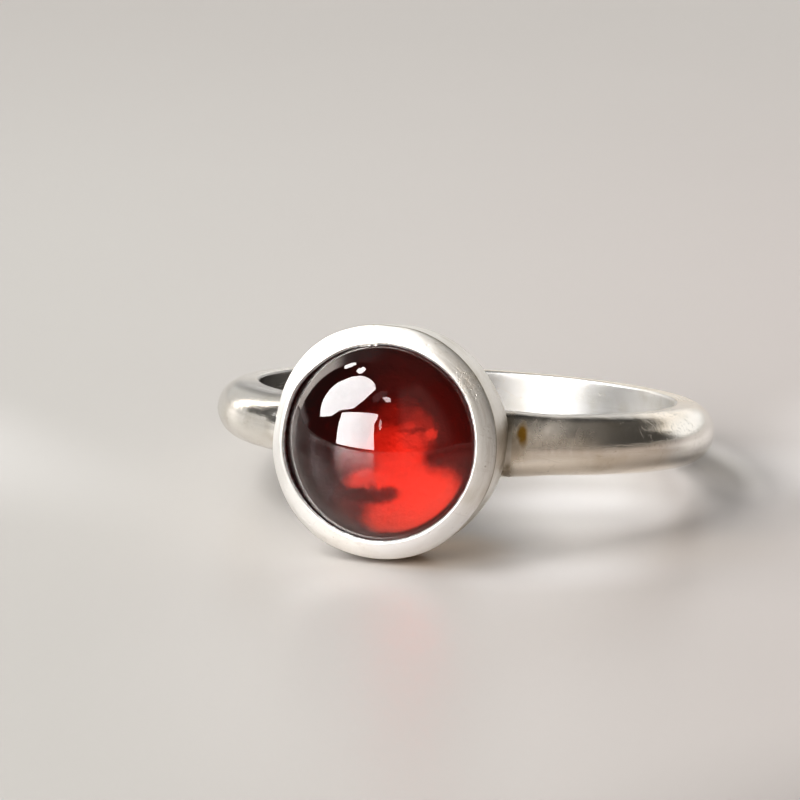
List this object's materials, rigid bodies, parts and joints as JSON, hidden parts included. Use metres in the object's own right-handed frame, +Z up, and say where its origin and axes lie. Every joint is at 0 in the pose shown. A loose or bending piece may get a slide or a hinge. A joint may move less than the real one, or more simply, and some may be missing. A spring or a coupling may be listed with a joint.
{
  "type": "garnet cabochon ring",
  "caption": "Silver finger ring with a half-round band and a round domed garnet in a closed bezel.",
  "frame": {"origin": "on the ground, under the middle of the ring's bounding box", "axes": "+Z up from the surface that the ring lies on, -Y towards the stone, +X across the band to the right as seen from the stone's side"},
  "size_m": [0.0196, 0.0228, 0.009],
  "materials": {
    "silver": "satin",
    "garnet": "polished"
  },
  "bodies": {
    "root": {"band_and_bezel": "silver", "garnet_cabochon": "garnet"}
  },
  "joints": []
}
